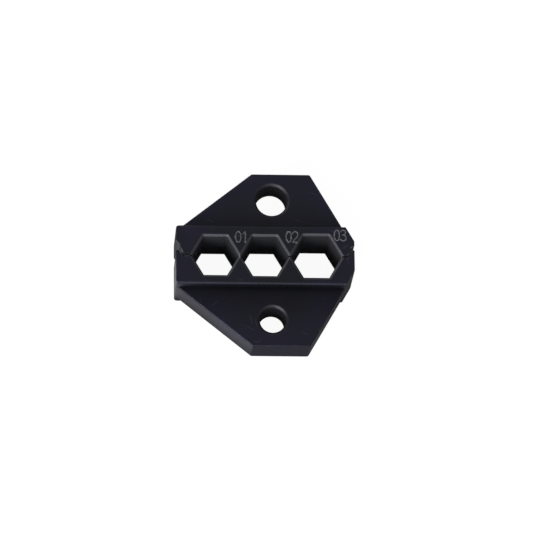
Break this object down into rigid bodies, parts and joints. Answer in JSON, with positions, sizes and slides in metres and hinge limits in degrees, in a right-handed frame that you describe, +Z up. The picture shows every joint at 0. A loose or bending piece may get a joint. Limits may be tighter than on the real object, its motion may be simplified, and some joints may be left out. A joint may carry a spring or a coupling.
{
  "type": "crimp die",
  "caption": "Crimping die set: mating upper and lower steel halves with a row of hexagonal cavities, sloping mounting tangs and retaining bores.",
  "frame": {"origin": "centre of the closed set's outline on the plane it lies on, on the parting plane between the halves", "axes": "+X along the nest, from the smallest cavity to the largest; +Y along the closing direction, towards the upper half; +Z up, from the back faces to the front faces"},
  "size_m": [0.0444, 0.0454, 0.014],
  "materials": {
    "lower_die_steel": "hardened tool steel with a satin black oxide finish, worn bright on sharp edges",
    "upper_die_steel": "hardened tool steel with a satin black oxide finish, worn bright on sharp edges"
  },
  "bodies": {
    "lower_die": {"lower_die": "lower_die_steel"},
    "upper_die": {"upper_die": "upper_die_steel"}
  },
  "joints": [
    {"name": "crimp_stroke", "type": "slide", "parent": "lower_die", "child": "upper_die", "axis": [0, 1, 0], "range_m": [0, 0.012]}
  ]
}
